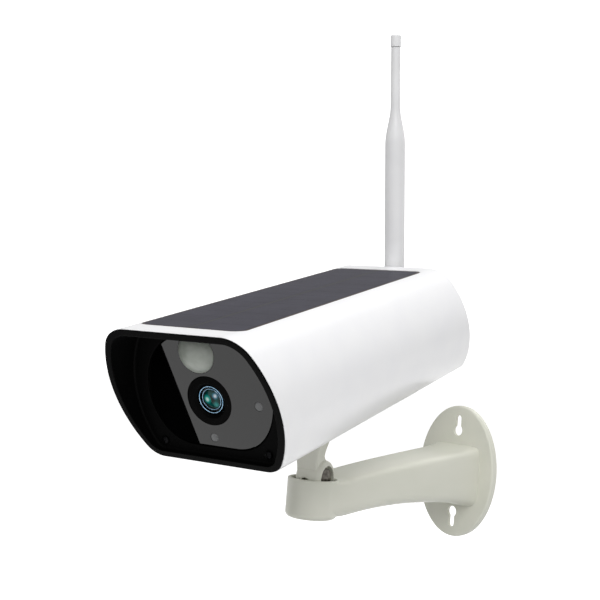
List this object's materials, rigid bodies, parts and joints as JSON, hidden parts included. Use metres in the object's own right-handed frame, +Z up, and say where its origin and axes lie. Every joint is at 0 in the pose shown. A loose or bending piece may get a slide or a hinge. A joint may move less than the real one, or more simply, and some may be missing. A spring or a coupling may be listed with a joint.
{
  "type": "solar security camera",
  "caption": "Wall-mounted solar-powered bullet security camera with a hooded front, motion sensor dome, hinged stick antenna and a pan and tilt arm bracket.",
  "frame": {"origin": "centre of the wall plate's flat back face", "axes": "+Y into the wall, so the arm reaches out along -Y; +Z up; +X to the viewer's right when looking at the wall"},
  "size_m": [0.1565, 0.2925, 0.3219],
  "materials": {
    "body_shell": "satin white paint over an aluminium extrusion",
    "bracket_plastic": "satin moulded plastic, warm grey white",
    "antenna_plastic": "satin moulded plastic, white",
    "black_plastic": "fine-grained moulded plastic, black",
    "black_rubber": "matt black rubber",
    "smoked_acrylic": "polished dark smoked acrylic",
    "solar_laminate": "laminated solar cells under clear film",
    "sensor_dome": "milky ribbed polyethylene",
    "lens_glass": "coated glass with a teal sheen",
    "smoked_window": "polished grey window",
    "steel": "plain steel",
    "black_steel": "black oxide",
    "brass": "machined",
    "gold_plate": "gold plated",
    "circuit_board": "green solder mask",
    "cell_wrap": "shrink wrap",
    "nylon": "natural nylon"
  },
  "bodies": {
    "bracket": {"wall_bracket": "bracket_plastic"},
    "swivel": {"pan_yoke": "bracket_plastic", "friction_disc": "nylon", "pan_washer": "steel", "pan_screw": "steel"},
    "knuckle": {"tilt_knuckle": "bracket_plastic", "tilt_bolt": "steel", "tilt_nut": "steel", "mount_stud": "steel"},
    "camera_head": {"antenna_connector": "gold_plate", "antenna_nut": "gold_plate", "battery_1": "cell_wrap", "battery_2": "cell_wrap", "battery_3": "cell_wrap", "battery_4": "cell_wrap", "battery_holder": "black_plastic", "bezel_screw_left": "black_steel", "bezel_screw_right": "black_steel", "card_slot": "steel", "front_bezel": "black_plastic", "front_glass": "smoked_acrylic", "inner_chassis": "black_plastic", "ir_window_left": "smoked_window", "ir_window_right": "smoked_window", "lens_barrel": "black_plastic", "lens_front_element": "lens_glass", "lens_holder": "black_plastic", "lens_surround": "black_plastic", "main_board": "circuit_board", "microphone": "steel", "motion_board": "circuit_board", "motion_dome": "sensor_dome", "motion_sensor": "steel", "mount_insert": "brass", "outer_sleeve": "body_shell", "panel_bed": "black_plastic", "rear_cap": "black_plastic", "rear_screw_1": "black_steel", "rear_screw_2": "black_steel", "rear_screw_3": "black_steel", "rear_screw_4": "black_steel", "sensor_board": "circuit_board", "solar_panel": "solar_laminate", "speaker": "black_steel", "status_window": "smoked_window", "usb_socket": "steel"},
    "antenna_elbow": {"antenna_elbow": "antenna_plastic", "antenna_hinge_pin": "steel"},
    "antenna_rod": {"antenna_rod": "antenna_plastic", "antenna_tip_cap": "antenna_plastic"},
    "port_cover": {"port_cover": "black_rubber"},
    "power_button": {"power_button": "black_rubber"},
    "reset_button": {"reset_button": "black_plastic"}
  },
  "joints": [
    {"name": "pan", "type": "hinge", "parent": "bracket", "child": "swivel", "pos_m": [0, -0.14, 0], "axis": [0, 0, 1], "range_deg": [-90, 75]},
    {"name": "tilt", "type": "hinge", "parent": "swivel", "child": "knuckle", "pos_m": [0, -0.14, 0.0004], "axis": [0.9636, 0.2672, 0], "range_deg": [-9, 30]},
    {"name": "head_turn", "type": "hinge", "parent": "knuckle", "child": "camera_head", "pos_m": [0.00018, -0.14066, 0.00024], "axis": [0.061, -0.22, 0.9736], "range_deg": [-30, 30]},
    {"name": "antenna_swivel", "type": "hinge", "parent": "camera_head", "child": "antenna_elbow", "pos_m": [-0.02368, -0.05462, 0.12081], "axis": [-0.2602, 0.9382, 0.2284], "range_deg": [-75, 75]},
    {"name": "antenna_fold", "type": "hinge", "parent": "antenna_elbow", "child": "antenna_rod", "pos_m": [-0.02368, -0.05462, 0.12081], "axis": [-0.9636, -0.2672, 0], "range_deg": [-3, 86]},
    {"name": "port_cover_hinge", "type": "hinge", "parent": "camera_head", "child": "port_cover", "pos_m": [-0.02368, -0.05461, 0.09778], "axis": [0.9636, 0.2672, 0], "range_deg": [0, 90]},
    {"name": "power_press", "type": "slide", "parent": "camera_head", "child": "power_button", "axis": [0.2149, -0.7749, -0.5944], "range_m": [0, 0.0008], "stiffness_N_per_m": 800},
    {"name": "reset_press", "type": "slide", "parent": "camera_head", "child": "reset_button", "axis": [0.2149, -0.7749, -0.5944], "range_m": [0, 0.0004], "stiffness_N_per_m": 500}
  ]
}
